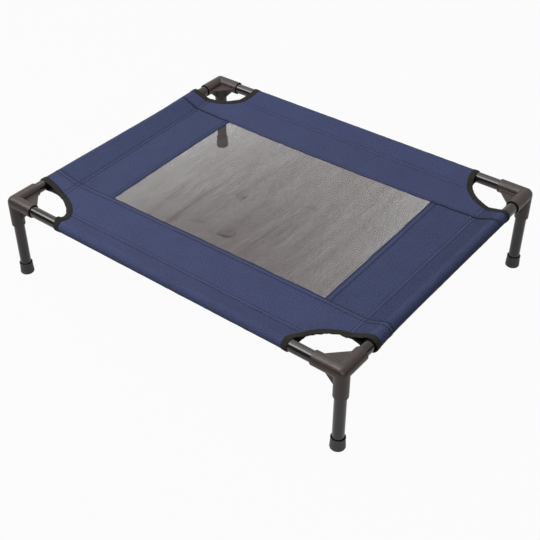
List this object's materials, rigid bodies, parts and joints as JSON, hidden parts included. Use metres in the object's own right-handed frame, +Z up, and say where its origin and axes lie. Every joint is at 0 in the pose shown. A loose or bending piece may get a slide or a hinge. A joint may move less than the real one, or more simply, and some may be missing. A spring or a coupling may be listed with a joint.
{
  "type": "elevated cot",
  "caption": "Elevated pet cot: a push-fit tube frame on short legs with a sewn navy fabric cover and a grey mesh window stretched between its rails.",
  "frame": {"origin": "on the floor, under the centre of the frame's footprint", "axes": "+X along the long rails, +Y along the short rails to the back, +Z up"},
  "size_m": [0.7606, 0.6212, 0.1763],
  "materials": {
    "tube_steel": "glossy dark brown-black powder coat",
    "connector_plastic": "satin moulded charcoal plastic",
    "foot_rubber": "matte dark grey rubber",
    "cover_fabric": "plain-woven navy blue fabric, matte",
    "mesh_fabric": "fine open grey mesh, see-through",
    "binding_tape": "ribbed dark olive-black tape, matte"
  },
  "bodies": {
    "root": {"corner_connector_front_left": "connector_plastic", "corner_connector_front_right": "connector_plastic", "corner_connector_back_right": "connector_plastic", "corner_connector_back_left": "connector_plastic", "leg_front_left": "tube_steel", "leg_front_right": "tube_steel", "leg_back_right": "tube_steel", "leg_back_left": "tube_steel", "foot_cap_front_left": "foot_rubber", "foot_cap_front_right": "foot_rubber", "foot_cap_back_right": "foot_rubber", "foot_cap_back_left": "foot_rubber", "corner_binding_front_left": "binding_tape", "corner_binding_front_right": "binding_tape", "corner_binding_back_right": "binding_tape", "corner_binding_back_left": "binding_tape", "long_rail_front": "tube_steel", "long_panel_front": "cover_fabric", "long_rail_back": "tube_steel", "long_panel_back": "cover_fabric", "short_rail_left": "tube_steel", "short_panel_left": "cover_fabric", "short_rail_right": "tube_steel", "short_panel_right": "cover_fabric", "mesh_panel": "mesh_fabric"}
  },
  "joints": []
}
